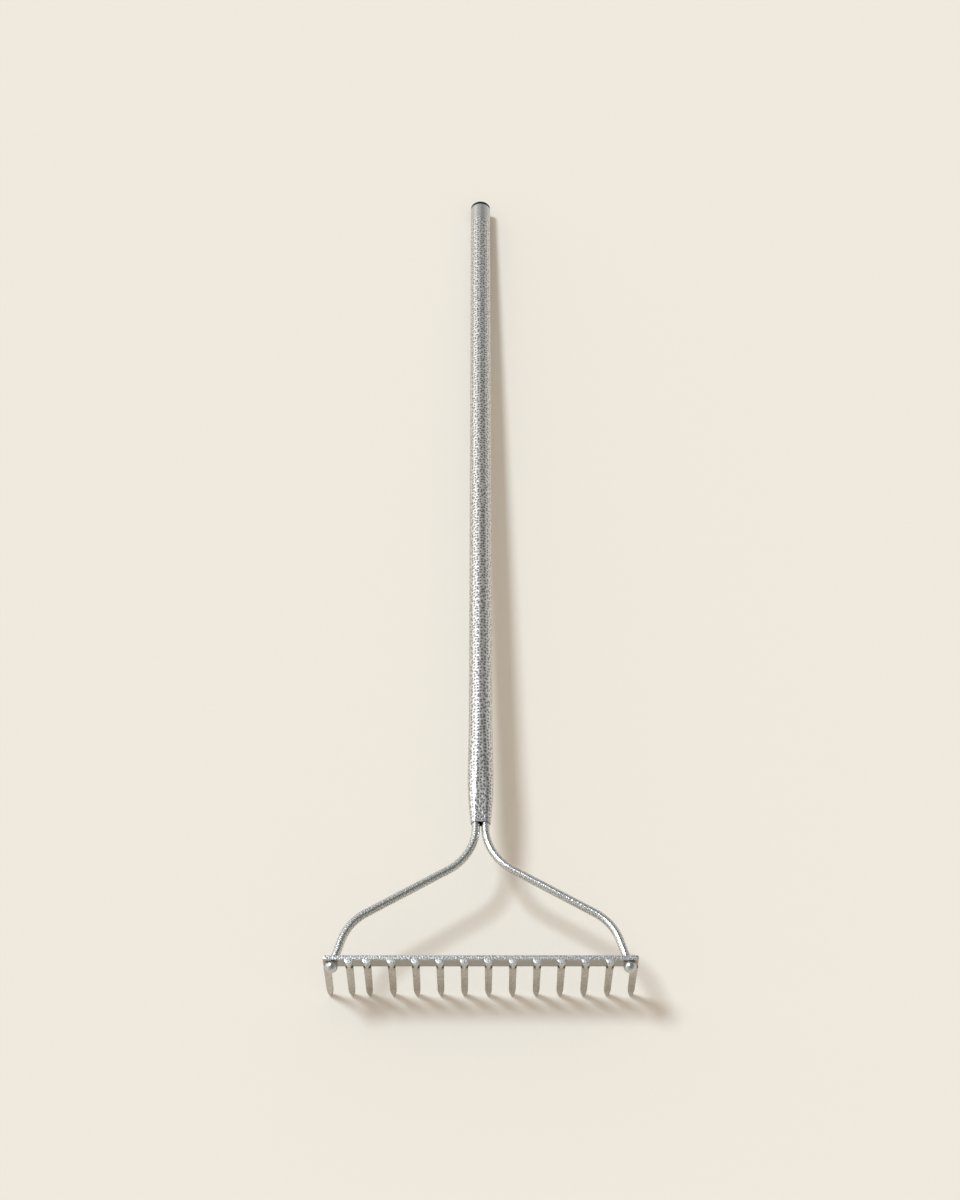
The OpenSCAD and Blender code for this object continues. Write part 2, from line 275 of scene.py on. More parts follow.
def skin(name, shells, rows=1):
    """A mesh of closed shells. Each is a list of rings, a word that says if its
    ends are "capped" or joined in a "loop", and how hammered each point is."""
    points, faces, hammered, corners = [], [], [], []
    for rings, ends, marks in shells:
        base, n, count = len(points), len(rings[0]), len(rings)
        places = unroll(rings, rows)
        for k, ring in enumerate(rings):
            points += ring
            hammered += marks[k] if marks else [0.0] * n
        for k in range(count if ends == "loop" else count - 1):
            a, b = base + k * n, base + (k + 1) % count * n
            this, other = places[k], places[(k + 1) % count]
            for i in range(n):
                faces.append((a + i, a + (i + 1) % n, b + (i + 1) % n, b + i))
                corners += [*this[i], *this[i + 1], *other[i + 1], *other[i]]
        if ends == "capped":
            faces.append([base + i for i in reversed(range(n))])
            faces.append([base + (count - 1) * n + i for i in range(n)])
            corners += [c for i in reversed(range(n)) for c in places[0][i]]
            corners += [c for i in range(n) for c in places[-1][i]]
    mesh = bpy.data.meshes.new(name)
    mesh.from_pydata(points, [], faces)
    mesh.uv_layers.new(name="unrolled").data.foreach_set("uv", corners)
    mesh.attributes.new("hammered", "FLOAT", "POINT").data.foreach_set("value", hammered)
    work = bmesh.new()
    work.from_mesh(mesh)
    bmesh.ops.recalc_face_normals(work, faces=work.faces)
    work.to_mesh(mesh)
    work.free()
    mesh.shade_smooth()
    return mesh


def piece(name, mesh, tree=None, inputs=None):
    """An object at the origin. A node tree is run on it and its result kept."""
    result = bpy.data.objects.new(name, mesh)
    bpy.context.scene.collection.objects.link(result)
    if tree is None:
        return result
    modifier = result.modifiers.new(tree.name, "NODES")
    modifier.node_group = tree
    sockets = {item.name: item.identifier
               for item in tree.interface.items_tree if item.in_out == "INPUT"}
    for label, value in (inputs or {}).items():
        modifier[sockets[label]] = value
    bpy.context.view_layer.update()
    shaped = result.evaluated_get(bpy.context.evaluated_depsgraph_get())
    kept = bpy.data.meshes.new_from_object(shaped)
    result.modifiers.clear()
    result.data = kept
    kept.name = name
    return result


def hand_over(result, slot, *nodes):
    """Lets a finished piece stand for its nodes, where it has any"""
    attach(result, "root")
    if nodes:
        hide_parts(*nodes)


# Node trees


def new_tree(name, sockets):
    """A geometry node tree with a geometry input, the named inputs and an output"""
    tree = bpy.data.node_groups.new(name, "GeometryNodeTree")
    tree.interface.new_socket("Geometry", in_out="INPUT", socket_type="NodeSocketGeometry")
    for label, kind in sockets.items():
        tree.interface.new_socket(label, in_out="INPUT", socket_type=kind)
    tree.interface.new_socket("Geometry", in_out="OUTPUT", socket_type="NodeSocketGeometry")
    return tree, add_node(tree, "NodeGroupInput").outputs


def end_tree(tree, geometry, material):
    """Realizes what the tree made and gives it its material"""
    real = add_node(tree, "GeometryNodeRealizeInstances", {"Geometry": geometry})
    dressed = add_node(tree, "GeometryNodeSetMaterial", {
        "Geometry": real.outputs[0], "Material": material})
    add_node(tree, "NodeGroupOutput", {"Geometry": dressed.outputs[0]})


def bowls(tree, place, scale, dimensions):
    """The height of a dimpled face: -1 in the middle of each dimple and 0 on
    the sharp ridges where the farthest corners of dimples meet"""
    cells = add_node(tree, "ShaderNodeTexVoronoi", {
        "Vector": place, "Scale": scale, "Randomness": JITTER},
        voronoi_dimensions=dimensions, feature="F1")
    square = add_node(tree, "ShaderNodeMath", {
        0: cells.outputs["Distance"], 1: 2.0}, operation="POWER")
    return add_node(tree, "ShaderNodeMapRange", {
        "Value": square.outputs[0], "From Min": 0.0, "From Max": CORNER ** 2,
        "To Min": -1.0, "To Max": 0.0})


def hammer_tree():
    """Presses dimples into a surface, each deepest in its middle"""
    tree, given = new_tree("hammer_marks", {
        "Depth": "NodeSocketFloat", "Material": "NodeSocketMaterial"})
    place = add_node(tree, "GeometryNodeInputNamedAttribute", {
        "Name": "unrolled"}, data_type="FLOAT_VECTOR")
    bowl = bowls(tree, place.outputs[0], 1.0, "2D")
    mark = add_node(tree, "GeometryNodeInputNamedAttribute", {
        "Name": "hammered"}, data_type="FLOAT")
    deep = add_node(tree, "ShaderNodeMath", {
        0: bowl.outputs[0], 1: given["Depth"]}, operation="MULTIPLY")
    push = add_node(tree, "ShaderNodeMath", {
        0: deep.outputs[0], 1: mark.outputs[0]}, operation="MULTIPLY")
    normal = add_node(tree, "GeometryNodeInputNormal")
    offset = add_node(tree, "ShaderNodeVectorMath", {
        0: normal.outputs[0], "Scale": push.outputs[0]}, operation="SCALE")
    moved = add_node(tree, "GeometryNodeSetPosition", {
        "Geometry": given["Geometry"], "Offset": offset.outputs[0]})
    end_tree(tree, moved.outputs[0], given["Material"])
    return tree


def row_tree():
    """Sets a copy of one tine on each point, each turned a little by chance"""
    tree, given = new_tree("tine_row", {
        "Tine": "NodeSocketObject", "Turn": "NodeSocketFloat", "Seed": "NodeSocketInt",
        "Material": "NodeSocketMaterial"})
    tine = add_node(tree, "GeometryNodeObjectInfo", {"Object": given["Tine"]})
    least = add_node(tree, "ShaderNodeMath", {0: given["Turn"], 1: -1.0}, operation="MULTIPLY")
    chance = add_node(tree, "FunctionNodeRandomValue", {
        2: least.outputs[0], 3: given["Turn"], "Seed": given["Seed"]}, data_type="FLOAT")
    turn = add_node(tree, "ShaderNodeCombineXYZ", {"Z": chance.outputs[1]})
    row = add_node(tree, "GeometryNodeInstanceOnPoints", {
        "Points": given["Geometry"], "Instance": tine.outputs["Geometry"],
        "Rotation": turn.outputs[0]})
    end_tree(tree, row.outputs[0], given["Material"])
    return tree


# Materials


def new_material(name, **base):
    """A material with its shader's plain inputs set"""
    material = bpy.data.materials.new(name)
    material.use_nodes = True
    shader = material.node_tree.nodes["Principled BSDF"]
    for label, value in base.items():
        shader.inputs[label.replace("_", " ")].default_value = value
    return material, material.node_tree, shader


def hammered_steel(name, bright, dimple_shade, plain, smooth, depth, pitch=None):
    """Steel, hammered cold: the dimples break every reflection into specks and
    the ridges between them catch the light. The middle of each dimple is painted
    darker, a painted shade. The struck faces are bright and scuffed in places.
    Where nothing struck them, they keep the plain colour, unevenly dulled. The
    dimples follow the unrolled skin or, with a pitch, the place in space."""
    scuff_size, scuff_rough, dullest = 2 * MM, 0.12, 0.6
    material, tree, shader = new_material(name, Metallic=1.0)
    place = add_node(tree, "ShaderNodeTexCoord").outputs["Object"]
    mark = add_node(tree, "ShaderNodeAttribute", attribute_name="hammered").outputs["Fac"]
    if pitch:
        bowl = bowls(tree, place, 1 / pitch, "3D")
    else:
        unrolled = add_node(tree, "ShaderNodeUVMap", uv_map="unrolled")
        bowl = bowls(tree, unrolled.outputs[0], 1.0, "2D")
    dents = add_node(tree, "ShaderNodeBump", {
        "Height": bowl.outputs[0], "Strength": mark, "Distance": depth})
    scuff = add_node(tree, "ShaderNodeTexNoise", {
        "Vector": place, "Scale": 1 / scuff_size, "Detail": 4.0})
    rough = add_node(tree, "ShaderNodeMapRange", {
        "Value": scuff.outputs[0], "From Min": NOISE_LOW, "From Max": NOISE_HIGH,
        "To Min": smooth, "To Max": smooth + scuff_rough})
    dull = add_node(tree, "ShaderNodeMix", {
        "Factor": scuff.outputs[0], 6: shade(plain, dullest), 7: plain}, data_type="RGBA")
    # Painted shade: the middle of each dimple takes the dark dimple colour, which fades out towards
    # its ridges
    shade_free = add_node(tree, "ShaderNodeMapRange", {
        "Value": bowl.outputs[0], "From Min": DIMPLE_SHADE_FULL, "From Max": DIMPLE_SHADE_END,
        "To Min": 0.0, "To Max": 1.0})
    struck = add_node(tree, "ShaderNodeMix", {
        "Factor": shade_free.outputs[0], 6: dimple_shade, 7: bright}, data_type="RGBA")
    tint = add_node(tree, "ShaderNodeMix", {
        "Factor": mark, 6: dull.outputs[2], 7: struck.outputs[2]}, data_type="RGBA")
    tree.links.new(dents.outputs[0], shader.inputs["Normal"])
    tree.links.new(rough.outputs[0], shader.inputs["Roughness"])
    tree.links.new(tint.outputs[2], shader.inputs["Base Color"])
    return material


def forged_satin_steel(name, tint, smooth):
    """Forged steel, tumbled and plated: a satin face with a mottle of pits, so
    that it mirrors the floor softly. The mottle is drawn coarser than it is."""
    mottle_size, mottle_rough, pit_depth = 2.4 * MM, 0.14, 0.05 * MM
    darkest, brightest = 0.3, 1.45
    material, tree, shader = new_material(name, Metallic=1.0)
    place = add_node(tree, "ShaderNodeTexCoord").outputs["Object"]
    mottle = add_node(tree, "ShaderNodeTexNoise", {
        "Vector": place, "Scale": 1 / mottle_size, "Detail": 3.0})
    blotch = add_node(tree, "ShaderNodeMix", {
        "Factor": mottle.outputs[0], 6: shade(tint, darkest), 7: shade(tint, brightest)},
        data_type="RGBA")
    rough = add_node(tree, "ShaderNodeMapRange", {
        "Value": mottle.outputs[0], "From Min": NOISE_LOW, "From Max": NOISE_HIGH,
        "To Min": smooth, "To Max": smooth + mottle_rough})
    pits = add_node(tree, "ShaderNodeBump", {
        "Height": mottle.outputs[0], "Strength": 1.0, "Distance": pit_depth})
    tree.links.new(blotch.outputs[2], shader.inputs["Base Color"])
    tree.links.new(rough.outputs[0], shader.inputs["Roughness"])
    tree.links.new(pits.outputs[0], shader.inputs["Normal"])
    return material


def moulded_black_pvc(name, tint):
    """Soft PVC, moulded in a sparked tool: a dull black with a faint grain"""
    grain_size, grain_depth = 0.5 * MM, 0.02 * MM
    material, tree, shader = new_material(
        name, Base_Color=tint, Roughness=0.6, IOR=1.53, Specular_IOR_Level=0.25)
    place = add_node(tree, "ShaderNodeTexCoord").outputs["Object"]
    grain = add_node(tree, "ShaderNodeTexNoise", {
        "Vector": place, "Scale": 1 / grain_size, "Detail": 2.0})
    fine = add_node(tree, "ShaderNodeBump", {
        "Height": grain.outputs[0], "Strength": 1.0, "Distance": grain_depth})
    tree.links.new(fine.outputs[0], shader.inputs["Normal"])
    return material


# Handle


def crimp_half(handle, bow, along):
    """Half the width and half the height of the tube at a distance from its mouth"""
    mouth_h = bow.rod_r + handle.fit + handle.wall
    mouth_w = bow.gap / 2 + bow.rod_r + mouth_h
    share = min(along / handle.crimp, 1)
    high = mouth_h + (HANDLE_R - mouth_h) * math.sin(math.pi / 2 * share)
    if along < handle.swell_at:
        swell_w = HANDLE_R + handle.swell / 2
        return mouth_w + (swell_w - mouth_w) * math.sin(math.pi / 2 * along / handle.swell_at), high
    rest = min((along - handle.swell_at) / (handle.crimp - handle.swell_at), 1)
    return HANDLE_R + handle.swell * (1 + math.cos(math.pi * rest)) / 4, high


def stadium(wide, high, y, count):
    """A ring of two half circles joined by flats, with evenly spaced points
    that start underneath"""
    flat = max(0, wide - high)
    arc = math.pi * high
    around = 2 * arc + 4 * flat
    ring = []
    for i in range(count):
        s = (around * i / count - flat) % around
        side = 1 if s < arc + 2 * flat else -1
        s %= arc + 2 * flat
        if s < arc:
            turn = s / high - math.pi / 2
            x, z = flat + high * math.cos(turn), high * math.sin(turn)
        else:
            x, z = flat - (s - arc), high
        ring.append(Vector((side * x, y, side * z)))
    return ring


class RAKE_OT_handle(bpy.types.Operator):
    """Make the hammered tube, round and then squeezed flat over the rods"""
    bl_idname = "rake.handle"
    bl_label = "Handle tube"

    def execute(self, context):
        handle, bow = context.scene.rake_handle, context.scene.rake_bow
        finish = context.scene.rake_finish
        sides, ring_step, bore_step = 88, 1.13 * MM, 20 * MM
        fade_at_plain, fade_at_mouth = 6 * MM, 3 * MM
        mouth_y = ROUND_Y - handle.crimp
        last = FAR_Y - mouth_y
        lip = [(handle.lip * (1 - math.cos(a)), handle.lip * (1 - math.sin(a)))
               for a in (0.0, math.pi / 6, math.pi / 3, math.pi / 2)]
        inner = steps(last - handle.lip, handle.lip, bore_step)
        profile = [(handle.lip + along, 0)
                   for along in steps(0, last - 2 * handle.lip, ring_step)]
        profile += [(last - along, inset) for inset, along in lip[1:]]
        profile += [(last - along, handle.wall - inset) for inset, along in reversed(lip)]
        profile += [(along, handle.wall) for along in inner[1:-1]]
        profile += [(along, handle.wall - inset) for inset, along in lip]
        profile += [(along, inset) for inset, along in reversed(lip[1:])]
        rings, marks = [], []
        for along, inset in profile:
            wide, high = crimp_half(handle, bow, along)
            rings.append(stadium(wide - inset, high - inset, mouth_y + along, sides))
            # The marks fade out at both ends, and the bore carries them unseen
            struck = min(
                1.0, (last - handle.plain - along) / fade_at_plain, along / fade_at_mouth)
            marks.append([max(0.0, struck)] * sides)
        mesh = skin("tube_hammered", [(rings, "loop", marks)], finish.tube_rows)
        mesh.transform(TO_ROOM)
        steel = hammered_steel("hammered_tube_steel", finish.steel, finish.dimple_shade, finish.steel,
                               finish.tube_rough, finish.tube_dimple)
        tube = piece("tube_hammered", mesh, hammer_tree(), {
            "Depth": finish.tube_dimple, "Material": steel})
        hand_over(tube, "hammered_steel", "handle_tube")
        return {"FINISHED"}


class RAKE_OT_plug(bpy.types.Operator):
    """Make the plug that closes the far end of the tube"""
    bl_idname = "rake.plug"
    bl_label = "End plug"

    def execute(self, context):
        handle = context.scene.rake_handle
        bore_r = HANDLE_R - handle.wall
        skirt_r, rib_r, skirt_wall = bore_r - 0.6 * MM, bore_r - 0.05 * MM, 2 * MM
        inner_r = skirt_r - skirt_wall
        rib_half, rib_foot_half = 0.6 * MM, 0.8 * MM
        # A hair's width of flat at the axis closes both ends
        axis_r, crown, hollow = 0.2 * MM, 0.01 * MM, 0.5 * MM
        edge = [(handle.plug_r - handle.plug_edge * (1 - math.cos(a)),
                 handle.plug_cap - handle.plug_edge * (1 - math.sin(a)))
                for a in steps(0, math.pi / 2, math.pi / 16)]
        outline = [(axis_r, handle.plug_cap + crown), *edge[::-1]]
        outline += [(handle.plug_r, 0), (skirt_r, 0)]
        for share in (0.25, 0.5, 0.75):
            middle = -share * handle.plug_depth
            outline += [(skirt_r, middle + rib_foot_half), (rib_r, middle + rib_half),
                        (rib_r, middle - rib_half), (skirt_r, middle - rib_foot_half)]
        outline += [(skirt_r, -handle.plug_depth), (inner_r, -handle.plug_depth),
                    (inner_r, -hollow), (axis_r, 0)]
        rings = [[Vector((r * math.cos(a), FAR_Y + y, r * math.sin(a)))
                  for a in steps(0, 2 * math.pi, math.pi / 32)[:-1]] for r, y in outline]
        mesh = skin("plug_moulded", [(rings, "capped", None)])
        mesh.set_sharp_from_angle(angle=math.radians(40))
        mesh.transform(TO_ROOM)
        plastic = moulded_black_pvc("moulded_black_pvc", context.scene.rake_finish.plastic)
        mesh.materials.append(plastic)
        hand_over(piece("plug_moulded", mesh), "black_plastic", "end_plug")
        return {"FINISHED"}


# Bow


def rod_stations(bow, bar, mouth_y, step):
    """Middle, heading, radius and hammering along the right rod, from the end
    of its tang to the front of its head"""
    rod_x = bow.rod_r + bow.gap / 2
    eye_x = BAR_HIGH.x - bow.inset
    root_y = mouth_y - bow.start
    foot = Vector((eye_x - bow.foot * math.tan(bow.lean), bow.foot))
    root_middle = Vector((rod_x + bow.root_bend, root_y))
    shoulder_middle = foot - bow.shoulder_bend * Vector((math.cos(bow.lean), math.sin(bow.lean)))
    apart = shoulder_middle - root_middle
    both = bow.root_bend + bow.shoulder_bend
    turn = math.atan2(apart.x, -apart.y) + math.asin(both / apart.length)
    diagonal = math.sqrt(apart.length_squared - both ** 2)
    path = []
    for y in steps(mouth_y + bow.tang, root_y, step)[:-1]:
        path.append((Vector((rod_x, y)), 0.0))
    for t in steps(0, turn, step / bow.root_bend)[:-1]:
        path.append((root_middle - bow.root_bend * Vector((math.cos(t), math.sin(t))), t))
    leave = root_middle - bow.root_bend * Vector((math.cos(turn), math.sin(turn)))
    for s in steps(0, diagonal, step)[:-1]:
        path.append((leave + s * Vector((math.sin(turn), -math.cos(turn))), turn))
    for t in steps(turn, bow.lean, step / bow.shoulder_bend)[:-1]:
        path.append((shoulder_middle + bow.shoulder_bend * Vector((math.cos(t), math.sin(t))), t))
    down = Vector((math.sin(bow.lean), -math.cos(bow.lean)))
    to_knob = (bow.foot + bar.depth / 2 + bow.knob_stand) / math.cos(bow.lean)
    knob_back = math.sqrt(bow.knob_r ** 2 - bow.rod_r ** 2)
    for s in steps(0, to_knob - knob_back, step):
        path.append((foot + s * down, bow.lean))
    stations = [(middle, heading, bow.rod_r, 1.0) for middle, heading in path]
    knob = foot + to_knob * down
    pole, ring_turn = math.radians(2), math.radians(9)
    for a in steps(math.atan2(bow.rod_r, -knob_back), pole, ring_turn)[1:]:
        middle, radius = knob + bow.knob_r * math.cos(a) * down, bow.knob_r * math.sin(a)
        stations.append((middle, bow.lean, radius, 0.0))
    return stations


class RAKE_OT_bow(bpy.types.Operator):
    """Make the two bent rods with their round heads"""
    bl_idname = "rake.bow"
    bl_label = "Bow rods"

    def execute(self, context):
        scene = context.scene
        bow, finish = scene.rake_bow, scene.rake_finish
        sides, ring_step = 36, 0.9 * MM
        mouth_y = ROUND_Y - scene.rake_handle.crimp
        stations = rod_stations(bow, scene.rake_bar, mouth_y, ring_step)
        steel = hammered_steel("hammered_rod_steel", finish.steel, finish.dimple_shade, finish.steel,
                               finish.rod_rough, finish.rod_dimple)
        tree = hammer_tree()
        around = steps(-math.pi / 2, 3 * math.pi / 2, 2 * math.pi / sides)[:sides]
        for node, hand in (("bow_rod_left", -1), ("bow_rod_right", 1)):
            rings, marks = [], []
            for middle, heading, radius, mark in stations:
                across = Vector((math.cos(heading), math.sin(heading), 0))
                above = Vector((0, 0, 1))
                ring = [middle.to_3d() + radius * (math.cos(a) * across + math.sin(a) * above)
                        for a in around]
                rings.append([Vector((hand * p.x, p.y, p.z)) for p in ring])
                marks.append([mark] * sides)
            name = node + "_hammered"
            mesh = skin(name, [(rings, "capped", marks)], finish.rod_rows)
            mesh.transform(TO_ROOM)
            rod = piece(name, mesh, tree, {"Depth": finish.rod_dimple, "Material": steel})
            hand_over(rod, "hammered_steel", node)
        return {"FINISHED"}


# Bar and tines


def rounded_box(half_w, low, high, radius, count):
    """A ring of a rectangle with rounded corners, as pairs with even spacing:
    from -half_w to half_w and from low to high. It starts on the -half_w side."""
    # No rounding takes up a whole side, so each keeps a short flat
    most = 0.98
    radius = min(radius, half_w * most, (high - low) / 2 * most)
    flat_w, flat_h = 2 * (half_w - radius), high - low - 2 * radius
    quarter = math.pi * radius / 2
    lengths = [flat_h, quarter, flat_w, quarter] * 2
    corners = [(half_w - radius, high - radius), (radius - half_w, high - radius),
               (radius - half_w, low + radius), (half_w - radius, low + radius)]
    pairs = []
    for i in range(count):
        s, leg = sum(lengths) * ((i / count + 0.5) % 1) + flat_h / 2, 0
        s %= sum(lengths)
        while s > lengths[leg]:
            s -= lengths[leg]
            leg += 1
        x, y = corners[(leg // 2 + (0 if leg % 2 else 3)) % 4]
        a = math.pi / 2 * (leg // 2)
        if leg % 2:
            a += s / radius
            pairs.append((x + radius * math.cos(a), y + radius * math.sin(a)))
        else:
            pairs.append((x + radius * math.cos(a) - s * math.sin(a),
                          y + radius * math.sin(a) + s * math.cos(a)))
    return pairs


class RAKE_OT_bar(bpy.types.Operator):
    """Make the flat bar that carries the tines"""
    bl_idname = "rake.bar"
    bl_label = "Head bar"

    def execute(self, context):
        bar, finish = context.scene.rake_bar, context.scene.rake_finish
        sides, ring_step = 56, 0.95 * MM
        first_turn, ring_turn = math.radians(10), math.radians(16)
        half = (BAR_HIGH.x - BAR_LOW.x) / 2
        ends = [(half - bar.end_r * (1 - math.cos(a)), bar.end_r * (1 - math.sin(a)))
                for a in steps(first_turn, math.pi / 2, ring_turn)]
        stations = [(-x, cut) for x, cut in ends]
        stations += [(x, 0) for x in steps(bar.end_r - half, half - bar.end_r, ring_step)[1:-1]]
        stations += ends[::-1]
        rings = []
        for x, cut in stations:
            # The upright corners are rounded, and top and bottom a quarter as much
            pairs = rounded_box(bar.height / 2 - cut / 4, cut - bar.depth / 2,
                                bar.depth / 2 - cut, bar.edge_r, sides)
            rings.append([Vector((x, y, z)) for z, y in pairs])
        marks = [[float(p.z > bar.height / 2 - bar.edge_r) for p in ring] for ring in rings]
        rows = round((bar.height + bar.depth) * 2 / finish.bar_pitch)
        mesh = skin("bar_hammered", [(rings, "capped", marks)], rows)
        mesh.transform(TO_ROOM)
        # The bar's unhammered front and back take a darker colour than its hammered top
        steel = hammered_steel("hammered_bar_steel", finish.steel, finish.dimple_shade, finish.bar_front_back,
                               finish.bar_rough, finish.rod_dimple)
        result = piece("bar_hammered", mesh, hammer_tree(), {
            "Depth": finish.rod_dimple, "Material": steel})
        hand_over(result, "hammered_steel", "head_bar")
        return {"FINISHED"}


def blade_shell(tine, bar):
    """The tine below the bar: a thick root, a slow taper and an arched point"""
    sides, ring_step, under_bar, first_ring = 32, 3 * MM, 0.4 * MM, 2 * MM
    tip_end, tip_turn = math.radians(84), math.radians(9)
    shaft = tine.reach - tine.point
    middle = tine.point - tine.tip_r
    arc_r = ((middle ** 2 + tine.point_w ** 2 / 4 - tine.tip_r ** 2)
             / (tine.point_w - 2 * tine.tip_r))
    turned = math.atan2(middle, arc_r - tine.point_w / 2)
    outline = [(down, (tine.neck_w + (tine.point_w - tine.neck_w) * down / shaft) / 2)
               for down in [0, under_bar] + steps(first_ring, shaft, ring_step)]
    outline += [(shaft + arc_r * math.sin(a), tine.point_w / 2 - arc_r * (1 - math.cos(a)))
                for a in steps(0, turned, turned / 9)[1:]]
    outline += [(shaft + middle + tine.tip_r * math.sin(a), tine.tip_r * math.cos(a))
                for a in steps(turned, tip_end, tip_turn)[1:]]
    front_root, front_tip = -bar.depth / 2 - tine.root_stand, -tine.tip_forward - tine.tip_d / 2
    front_blade, back_blade = -(tine.blade_d + tine.root_stand) / 2, tine.blade_d / 2
    rings = []
    for down, half in outline:
        if down < tine.root:
            share = down / tine.root
            low = front_root + (front_blade - front_root) * share
            high = bar.depth / 2 + (back_blade - bar.depth / 2) * share
        else:
            share = (down - tine.root) / (tine.reach - tine.root)
            low = front_blade + (front_tip - front_blade) * share
            high = back_blade + (tine.tip_d / 2 - tine.tip_forward - back_blade) * share
        ring = rounded_box(half, low, high, tine.edge_r, sides)
        rings.append([Vector((x, y, -bar.height / 2 - down)) for x, y in ring])
    return rings, "capped", None


def boss_shell(tine, bar):
    """The boss in front of the bar: half a cone, wide and rounded at the top,
    that starts just below the bar's top and closes inside the bar's front"""
    round_r, below_top, inside = 1.2 * MM, 0.1 * MM, 0.4 * MM
    foot_h, foot_step, ring_step = 1 * MM, 0.4 * MM, 2 * MM
    top, foot = bar.height / 2 - below_top, -bar.height / 2 - tine.root / 2
    outline = [(top - round_r * (1 - math.sin(a)), round_r * (1 - math.cos(a)))
               for a in steps(math.pi / 2, 0, math.pi / 10)]
    outline += [(z, 0) for z in steps(top - round_r, foot + foot_h, ring_step)[1:]]
    # Two steps round off the foot
    outline += [(foot + foot_step, 0.3 * MM), (foot, 1 * MM)]
    rings = []
    for z, cut in outline:
        share = (z - foot) / (top - foot)
        radius = tine.boss_foot_r + (tine.boss_r - tine.boss_foot_r) * share - cut
        arc = [Vector((radius * math.sin(a), -bar.depth / 2 - radius * math.cos(a), z))
               for a in steps(-math.pi / 2, math.pi / 2, math.pi / 20)]
        back = inside - bar.depth / 2
        rings.append(arc + [Vector((p.x, back, z)) for p in (arc[-1], arc[0])])
    marks = [[1.0] * len(ring) for ring in rings]
    return rings, "capped", marks


def peen_shell(tine, bar):
    """The tenon's peened head behind the bar: a low dome that starts inside it"""
    inside, pole = 0.5 * MM, 0.02
    dome_r = (tine.peen_r ** 2 + tine.peen_h ** 2) / (2 * tine.peen_h)
    middle = bar.depth / 2 + tine.peen_h - dome_r
    widest = math.asin(tine.peen_r / dome_r)
    outline = [(tine.peen_r, bar.depth / 2 - inside)]
    outline += [(dome_r * math.sin(a), middle + dome_r * math.cos(a))
                for a in steps(widest, pole, widest / 8)]
    around = steps(0, 2 * math.pi, math.pi / 16)[:-1]
    rings = [[Vector((r * math.cos(a), y, r * math.sin(a))) for a in around]
             for r, y in outline]
    return rings, "capped", None


class RAKE_OT_tines(bpy.types.Operator):
    """Make the row of tines, with bosses on all but the two at the ends"""
    bl_idname = "rake.tines"
    bl_label = "Tines"

    def execute(self, context):
        scene = context.scene
        tine, bar, finish = scene.rake_tine, scene.rake_bar, scene.rake_finish
        forged = forged_satin_steel("forged_satin_steel", finish.forged, finish.tine_rough)
        struck = hammered_steel("hammered_boss_steel", finish.steel, finish.dimple_shade, finish.steel,
                                finish.boss_rough, finish.rod_dimple, finish.bar_pitch)
        tree = row_tree()
        blade, boss, peen = blade_shell(tine, bar), boss_shell(tine, bar), peen_shell(tine, bar)
        rows = {
            "tines_end": ([TINE_NODES[0], TINE_NODES[-1]], [blade], forged),
            "tines_middle": (TINE_NODES[1:-1], [blade, peen], forged),
            "tine_bosses": (TINE_NODES[1:-1], [boss], struck),
        }
        for name, (nodes, shells, steel) in rows.items():
            one = piece(name + "_one", skin(name + "_one", shells))
            one.data.set_sharp_from_angle(angle=math.radians(50))
            places = []
            for node in nodes:
                low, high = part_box(node)
                places.append(Vector(((low.x + high.x) / 2, 0, 0)))
            points = bpy.data.meshes.new(name)
            points.from_pydata(places, [], [])
            row = piece(name, points, tree, {
                "Tine": one, "Turn": tine.turn, "Seed": tine.seed, "Material": steel})
            bpy.data.objects.remove(one)
            row.data.transform(TO_ROOM)
            hand_over(row, "tine_steel", *(nodes if blade in shells else ()))
        return {"FINISHED"}


# Stage

# Where the key light and the middle of the soft window are, seen from the rake
KEY_WAY = Vector((-0.54, 0.33, 1))
WINDOW_WAY = Vector((-0.8, 0.25, 0.5)).normalized()
# How many degrees from the window's middle its glow, and the window itself,
# begin and are full
GLOW_BEGINS, GLOW_FULL = 72, 56
WINDOW_BEGINS, WINDOW_FULL = 38, 24
# How steeply the view climbs, as a sine, where the walls begin to darken and
# where the room overhead is darkest
WALLS_TOP, OVERHEAD = 0.1, 0.85


